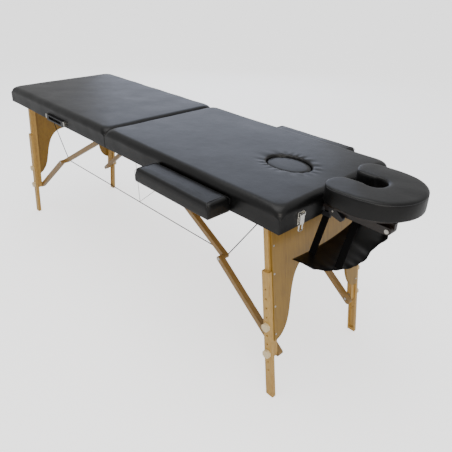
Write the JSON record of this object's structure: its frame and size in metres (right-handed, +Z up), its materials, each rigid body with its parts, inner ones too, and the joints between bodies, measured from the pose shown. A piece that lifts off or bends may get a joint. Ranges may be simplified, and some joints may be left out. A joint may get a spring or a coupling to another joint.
{
  "type": "massage table",
  "caption": "Portable folding massage table: padded two-section top, wooden legs braced by steel cables, side armrests, arm sling and a horseshoe face cradle",
  "frame": {"origin": "on the floor under the middle of the whole table's outline", "axes": "X along the table towards the head end, Y across it towards the side away from the carrying handle, Z up"},
  "size_m": [2.1701, 0.792, 0.8],
  "materials": {
    "leathercloth": "satin black polyurethane leathercloth",
    "beech": "clear lacquered beech",
    "plywood": "golden lacquered plywood",
    "knob_wood": "cream, satin",
    "zinc_steel": "zinc plated",
    "steel_cable": "stranded wire",
    "cord": "black nylon cord",
    "webbing": "black nylon webbing",
    "black_plastic": "moulded, satin",
    "dark_wood": "dark brown stained"
  },
  "bodies": {
    "foot_section": {"foot_frame": "beech", "foot_deck": "plywood", "foot_pad": "leathercloth", "foot_pivot_bolts": "zinc_steel", "foot_hinge_leaf": "zinc_steel", "foot_cables": "steel_cable", "latch_keepers": "zinc_steel", "handle_brackets": "zinc_steel"},
    "fold_pin": {"hinge_pin": "zinc_steel"},
    "head_section": {"head_frame": "beech", "head_deck": "plywood", "head_pad": "leathercloth", "head_pivot_bolts": "zinc_steel", "head_hinge_leaf": "zinc_steel", "head_cables": "steel_cable", "cable_keepers": "cord", "head_sockets": "black_plastic", "latch_bases": "zinc_steel"},
    "foot_legs": {"foot_leg_posts": "beech", "foot_end_panel": "plywood", "foot_leg_fasteners": "zinc_steel"},
    "foot_upper_links_pair": {"foot_upper_links": "beech"},
    "foot_lower_links_pair": {"foot_lower_links": "beech", "foot_knee_bolts": "zinc_steel"},
    "foot_near_leg_extension": {"foot_near_extension": "beech"},
    "foot_near_upper_knob_body": {"foot_near_upper_knob": "knob_wood"},
    "foot_near_lower_knob_body": {"foot_near_lower_knob": "knob_wood"},
    "foot_far_leg_extension": {"foot_far_extension": "beech"},
    "foot_far_upper_knob_body": {"foot_far_upper_knob": "knob_wood"},
    "foot_far_lower_knob_body": {"foot_far_lower_knob": "knob_wood"},
    "head_legs": {"head_leg_posts": "beech", "head_end_panel": "plywood", "head_leg_fasteners": "zinc_steel"},
    "head_upper_links_pair": {"head_upper_links": "beech"},
    "head_lower_links_pair": {"head_lower_links": "beech", "head_knee_bolts": "zinc_steel"},
    "head_near_leg_extension": {"head_near_extension": "beech"},
    "head_near_upper_knob_body": {"head_near_upper_knob": "knob_wood"},
    "head_near_lower_knob_body": {"head_near_lower_knob": "knob_wood"},
    "head_far_leg_extension": {"head_far_extension": "beech"},
    "head_far_upper_knob_body": {"head_far_upper_knob": "knob_wood"},
    "head_far_lower_knob_body": {"head_far_lower_knob": "knob_wood"},
    "carry_handle": {"handle_grip": "black_plastic"},
    "near_latch": {"near_latch_lever": "zinc_steel"},
    "near_armrest": {"near_armrest_pad": "leathercloth", "near_armrest_board": "beech"},
    "far_latch": {"far_latch_lever": "zinc_steel"},
    "far_armrest": {"far_armrest_pad": "leathercloth", "far_armrest_board": "beech"},
    "plug": {"face_hole_plug": "leathercloth"},
    "cradle_base": {"cradle_rods": "dark_wood", "cradle_arms": "dark_wood", "cradle_bolts": "zinc_steel", "arm_sling": "leathercloth", "sling_straps": "webbing", "sling_buckles": "black_plastic"},
    "cradle_rest": {"cradle_plate": "dark_wood", "cradle_cushion": "leathercloth"},
    "cam_clamp": {"cam_lever": "black_plastic"}
  },
  "joints": [
    {"name": "foot_fold", "type": "hinge", "parent": "fold_pin", "child": "foot_section", "pos_m": [-0.1295, 0, 0.676], "axis": [0, -1, 0], "range_deg": [0, 90], "deforming": ["foot_cables"]},
    {"name": "head_fold", "type": "hinge", "parent": "fold_pin", "child": "head_section", "pos_m": [-0.1295, 0, 0.676], "axis": [0, 1, 0], "range_deg": [0, 90], "deforming": ["head_cables", "cable_keepers"]},
    {"name": "foot_leg_fold", "type": "hinge", "parent": "foot_section", "child": "foot_legs", "pos_m": [-0.9835, 0, 0.697], "axis": [0, -1, 0], "range_deg": [0, 97.12]},
    {"name": "foot_upper_link_fold", "type": "hinge", "parent": "foot_section", "child": "foot_upper_links_pair", "pos_m": [-0.2195, 0, 0.701], "axis": [0, 1, 0], "range_deg": [0, 29.92]},
    {"name": "foot_lower_link_fold", "type": "hinge", "parent": "foot_legs", "child": "foot_lower_links_pair", "pos_m": [-1.0453, 0, 0.16919], "axis": [0, -1, 0], "range_deg": [0, 44.17]},
    {"name": "foot_near_height", "type": "slide", "parent": "foot_legs", "child": "foot_near_leg_extension", "axis": [-0.1238, 0, -0.9923], "range_m": [-0.072, 0.108]},
    {"name": "foot_near_upper_knob_turn", "type": "hinge", "parent": "foot_near_leg_extension", "child": "foot_near_upper_knob_body", "pos_m": [-1.03442, -0.266, 0.28876], "axis": [0, -1, 0], "continuous": true},
    {"name": "foot_near_lower_knob_turn", "type": "hinge", "parent": "foot_near_leg_extension", "child": "foot_near_lower_knob_body", "pos_m": [-1.04779, -0.266, 0.18159], "axis": [0, -1, 0], "continuous": true},
    {"name": "foot_far_height", "type": "slide", "parent": "foot_legs", "child": "foot_far_leg_extension", "axis": [-0.1238, 0, -0.9923], "range_m": [-0.072, 0.108]},
    {"name": "foot_far_upper_knob_turn", "type": "hinge", "parent": "foot_far_leg_extension", "child": "foot_far_upper_knob_body", "pos_m": [-1.03442, 0.266, 0.28876], "axis": [0, 1, 0], "continuous": true},
    {"name": "foot_far_lower_knob_turn", "type": "hinge", "parent": "foot_far_leg_extension", "child": "foot_far_lower_knob_body", "pos_m": [-1.04779, 0.266, 0.18159], "axis": [0, 1, 0], "continuous": true},
    {"name": "head_leg_fold", "type": "hinge", "parent": "head_section", "child": "head_legs", "pos_m": [0.7245, 0, 0.697], "axis": [0, 1, 0], "range_deg": [0, 97.12]},
    {"name": "head_upper_link_fold", "type": "hinge", "parent": "head_section", "child": "head_upper_links_pair", "pos_m": [-0.0395, 0, 0.701], "axis": [0, -1, 0], "range_deg": [0, 29.92]},
    {"name": "head_lower_link_fold", "type": "hinge", "parent": "head_legs", "child": "head_lower_links_pair", "pos_m": [0.78631, 0, 0.16919], "axis": [0, 1, 0], "range_deg": [0, 44.17]},
    {"name": "head_near_height", "type": "slide", "parent": "head_legs", "child": "head_near_leg_extension", "axis": [0.1238, 0, -0.9923], "range_m": [-0.072, 0.108]},
    {"name": "head_near_upper_knob_turn", "type": "hinge", "parent": "head_near_leg_extension", "child": "head_near_upper_knob_body", "pos_m": [0.77542, -0.266, 0.28876], "axis": [0, -1, 0], "continuous": true},
    {"name": "head_near_lower_knob_turn", "type": "hinge", "parent": "head_near_leg_extension", "child": "head_near_lower_knob_body", "pos_m": [0.78879, -0.266, 0.18159], "axis": [0, -1, 0], "continuous": true},
    {"name": "head_far_height", "type": "slide", "parent": "head_legs", "child": "head_far_leg_extension", "axis": [0.1238, 0, -0.9923], "range_m": [-0.072, 0.108]},
    {"name": "head_far_upper_knob_turn", "type": "hinge", "parent": "head_far_leg_extension", "child": "head_far_upper_knob_body", "pos_m": [0.77542, 0.266, 0.28876], "axis": [0, 1, 0], "continuous": true},
    {"name": "head_far_lower_knob_turn", "type": "hinge", "parent": "head_far_leg_extension", "child": "head_far_lower_knob_body", "pos_m": [0.78879, 0.266, 0.18159], "axis": [0, 1, 0], "continuous": true},
    {"name": "handle_swing", "type": "hinge", "parent": "foot_section", "child": "carry_handle", "pos_m": [-0.5605, -0.306, 0.7], "axis": [-1, 0, 0], "range_deg": [0, 90]},
    {"name": "near_latch_swing", "type": "hinge", "parent": "head_section", "child": "near_latch", "pos_m": [0.8255, -0.205, 0.715], "axis": [0, -1, 0], "range_deg": [0, 150]},
    {"name": "near_armrest_pull", "type": "slide", "parent": "head_section", "child": "near_armrest", "axis": [0, -1, 0], "range_m": [0, 0.05]},
    {"name": "far_latch_swing", "type": "hinge", "parent": "head_section", "child": "far_latch", "pos_m": [0.8255, 0.205, 0.715], "axis": [0, -1, 0], "range_deg": [0, 150]},
    {"name": "far_armrest_pull", "type": "slide", "parent": "head_section", "child": "far_armrest", "axis": [0, 1, 0], "range_m": [0, 0.05]},
    {"name": "plug_lift", "type": "slide", "parent": "head_section", "child": "plug", "axis": [0, 0, 1], "range_m": [0, 0.08]},
    {"name": "cradle_slide", "type": "slide", "parent": "head_section", "child": "cradle_base", "axis": [1, 0, 0], "range_m": [0, 0.09]},
    {"name": "cradle_tilt", "type": "hinge", "parent": "cradle_base", "child": "cradle_rest", "pos_m": [1.0425, 0, 0.708], "axis": [0, 1, 0], "range_deg": [0, 35]},
    {"name": "cam_turn", "type": "hinge", "parent": "cradle_base", "child": "cam_clamp", "pos_m": [0.8665, -0.1003, 0.708], "axis": [0, 1, 0], "range_deg": [0, 60]}
  ],
  "couplings": [
    {"joint": "foot_leg_fold", "follows": "foot_fold", "ratio": 1.079},
    {"joint": "foot_upper_link_fold", "follows": "foot_fold", "ratio": 0.33233},
    {"joint": "foot_lower_link_fold", "follows": "foot_fold", "ratio": 0.49069},
    {"joint": "head_leg_fold", "follows": "head_fold", "ratio": 1.079},
    {"joint": "head_upper_link_fold", "follows": "head_fold", "ratio": 0.33233},
    {"joint": "head_lower_link_fold", "follows": "head_fold", "ratio": 0.49069}
  ]
}
